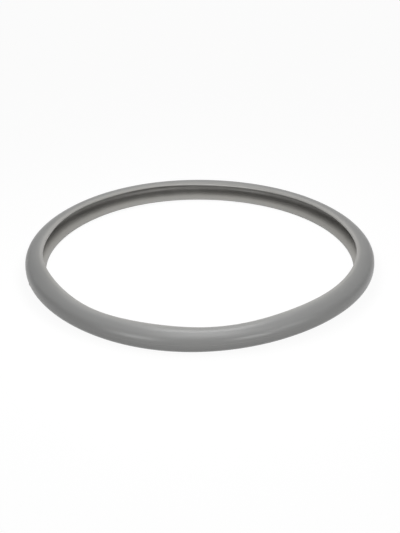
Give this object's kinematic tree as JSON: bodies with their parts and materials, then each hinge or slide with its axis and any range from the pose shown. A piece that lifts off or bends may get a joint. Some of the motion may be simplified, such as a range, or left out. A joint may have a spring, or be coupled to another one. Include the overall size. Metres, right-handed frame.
{
  "type": "pressure cooker sealing ring",
  "caption": "Grey silicone sealing ring of a stovetop pressure cooker: a round gasket of C-shaped section whose channel opens inwards between an upper and a lower lip.",
  "frame": {"origin": "on the ring's axis, in the plane that the lower lip rests on", "axes": "+Z along the ring's axis, from the lower lip up to the upper lip; +X and +Y are any two square directions across the ring, with -Y towards the picture's viewer"},
  "size_m": [0.235, 0.235, 0.0145],
  "materials": {
    "silicone": "satin moulded silicone rubber"
  },
  "bodies": {
    "root": {"sealing_ring": "silicone"}
  },
  "joints": []
}
